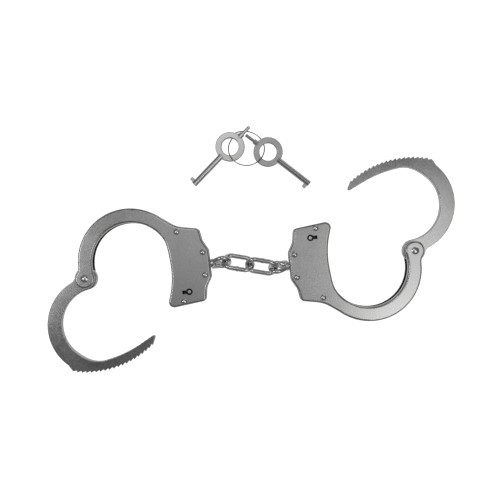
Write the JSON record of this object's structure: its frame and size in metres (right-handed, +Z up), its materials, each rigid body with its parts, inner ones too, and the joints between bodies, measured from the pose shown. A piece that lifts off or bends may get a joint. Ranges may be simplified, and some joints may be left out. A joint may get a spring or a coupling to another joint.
{
  "type": "handcuffs",
  "caption": "Double-locking chain handcuffs: riveted cheek plates, swing-through ratchet jaws, lock parts, swivels, chain links and hollow-barrel keys on a wire ring.",
  "frame": {"origin": "middle of the bottom of the whole object lying flat, at floor level", "axes": "+X runs from the left cuff to the right cuff, +Y towards the keys that lie above the chain, +Z up out of the floor"},
  "size_m": [0.2692, 0.164, 0.0104],
  "materials": {
    "satin_nickel": "nickel plated steel, fine satin grain",
    "case_steel": "nickel plated steel, dull",
    "polished_nickel": "polished nickel plate",
    "key_nickel": "nickel plated steel, tumbled",
    "wire_steel": "bright drawn wire",
    "hardened_steel": "hardened steel, plain",
    "spring_steel": "blued spring strip"
  },
  "bodies": {
    "left_cuff": {"left_upper_plate": "satin_nickel", "left_lower_plate": "satin_nickel", "left_lock_core": "case_steel", "left_jaw_rivet": "polished_nickel", "left_case_rivets": "polished_nickel", "left_pawl_pin": "hardened_steel", "left_pawl_spring": "spring_steel", "left_bolt_spring": "spring_steel", "left_key_post": "hardened_steel"},
    "left_jaw": {"left_jaw": "satin_nickel"},
    "left_pawl": {"left_pawl": "hardened_steel"},
    "left_double_lock_bolt": {"left_double_lock_bolt": "hardened_steel"},
    "left_swivel": {"left_swivel": "polished_nickel"},
    "left_chain_link": {"left_chain_link": "polished_nickel"},
    "right_cuff": {"right_upper_plate": "satin_nickel", "right_lower_plate": "satin_nickel", "right_lock_core": "case_steel", "right_jaw_rivet": "polished_nickel", "right_case_rivets": "polished_nickel", "right_pawl_pin": "hardened_steel", "right_pawl_spring": "spring_steel", "right_bolt_spring": "spring_steel", "right_key_post": "hardened_steel"},
    "right_jaw": {"right_jaw": "satin_nickel"},
    "right_pawl": {"right_pawl": "hardened_steel"},
    "right_double_lock_bolt": {"right_double_lock_bolt": "hardened_steel"},
    "right_swivel": {"right_swivel": "polished_nickel"},
    "right_chain_link": {"right_chain_link": "polished_nickel"},
    "key_ring": {"key_ring": "wire_steel"},
    "left_key": {"left_key_bow": "key_nickel", "left_key_barrel": "key_nickel", "left_key_peg": "key_nickel"},
    "right_key": {"right_key_bow": "key_nickel", "right_key_barrel": "key_nickel", "right_key_peg": "key_nickel"}
  },
  "joints": [
    {"name": "left_jaw_swing", "type": "hinge", "parent": "left_cuff", "child": "left_jaw", "pos_m": [-0.10927, -0.01971, 0.0052], "axis": [0, 0, 1], "continuous": true},
    {"name": "left_pawl_turn", "type": "hinge", "parent": "left_cuff", "child": "left_pawl", "pos_m": [-0.04364, -0.0018, 0.0052], "axis": [0, 0, -1], "range_deg": [-1, 4.5]},
    {"name": "left_double_lock", "type": "slide", "parent": "left_cuff", "child": "left_double_lock_bolt", "axis": [0.1097, -0.994, 0], "range_m": [0, 0.003]},
    {"name": "right_jaw_swing", "type": "hinge", "parent": "right_cuff", "child": "right_jaw", "pos_m": [0.10753, -0.00121, 0.0052], "axis": [0, 0, 1], "continuous": true},
    {"name": "right_pawl_turn", "type": "hinge", "parent": "right_cuff", "child": "right_pawl", "pos_m": [0.0419, -0.01912, 0.0052], "axis": [0, 0, -1], "range_deg": [-1, 4.5]},
    {"name": "right_double_lock", "type": "slide", "parent": "right_cuff", "child": "right_double_lock_bolt", "axis": [-0.1097, 0.994, 0], "range_m": [0, 0.003]},
    {"name": "left_swivel_spin", "type": "hinge", "parent": "left_cuff", "child": "left_swivel", "pos_m": [-0.02589, -0.0095, 0.0052], "axis": [0.994, 0.1097, 0], "continuous": true},
    {"name": "left_eye_hinge", "type": "hinge", "parent": "left_swivel", "child": "left_chain_link", "pos_m": [-0.01456, -0.00825, 0.0052], "axis": [-0.0705, 0.6389, 0.766], "range_deg": [-60, 60]},
    {"name": "chain_middle_hinge", "type": "hinge", "parent": "left_chain_link", "child": "right_chain_link", "pos_m": [0.00078, -0.01073, 0.0052], "axis": [0.1223, 0.7562, -0.6428], "range_deg": [-60, 60]},
    {"name": "right_eye_hinge", "type": "hinge", "parent": "right_chain_link", "child": "right_swivel", "pos_m": [0.01281, -0.01268, 0.0052], "axis": [0.0705, -0.6389, 0.766], "range_deg": [-60, 60]},
    {"name": "right_swivel_spin", "type": "hinge", "parent": "right_swivel", "child": "right_cuff", "pos_m": [0.02414, -0.01142, 0.0052], "axis": [-0.994, -0.1097, 0], "continuous": true},
    {"name": "key_ring_lift", "type": "slide", "parent": "left_cuff", "child": "key_ring", "axis": [0, 0, 1], "range_m": [0, 0.1]},
    {"name": "left_key_turn", "type": "hinge", "parent": "key_ring", "child": "left_key", "pos_m": [-0.00317, 0.06674, 0.00364], "axis": [0, 0.2516, 0.9678], "range_deg": [0, 60]},
    {"name": "right_key_turn", "type": "hinge", "parent": "key_ring", "child": "right_key", "pos_m": [-0.00317, 0.06674, 0.00364], "axis": [0, 0.2516, 0.9678], "range_deg": [-60, 0]}
  ]
}
